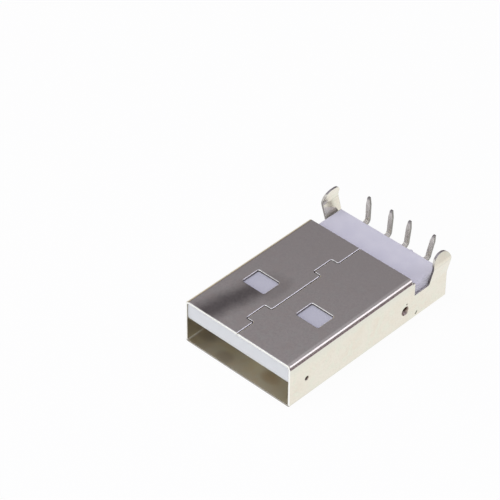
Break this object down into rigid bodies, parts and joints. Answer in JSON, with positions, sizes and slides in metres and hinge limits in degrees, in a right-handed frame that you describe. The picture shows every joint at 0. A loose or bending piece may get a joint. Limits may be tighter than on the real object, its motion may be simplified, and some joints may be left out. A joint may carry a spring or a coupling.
{
  "type": "usb-a plug",
  "caption": "Flat rectangular plug for the edge of a circuit board: folded metal shell with latch windows and board legs, plastic tongue, and contacts with upright solder tails.",
  "frame": {"origin": "on the plane of the mouth, at the middle of the plain face's front edge", "axes": "+Y from the mouth to the solder end, +Z from the plain face to the seam face, the way the legs and tails point, +X across the plug"},
  "size_m": [0.0128, 0.0203, 0.0059],
  "materials": {
    "shell_plate": "bright nickel plate on folded sheet, satin grain",
    "insulator_plastic": "white moulded thermoplastic, fine matt",
    "contact_plate": "bright tin plate on stamped copper alloy, satin"
  },
  "bodies": {
    "root": {"shell": "shell_plate", "insulator": "insulator_plastic", "contact_outer_left": "contact_plate", "contact_inner_left": "contact_plate", "contact_inner_right": "contact_plate", "contact_outer_right": "contact_plate"}
  },
  "joints": []
}
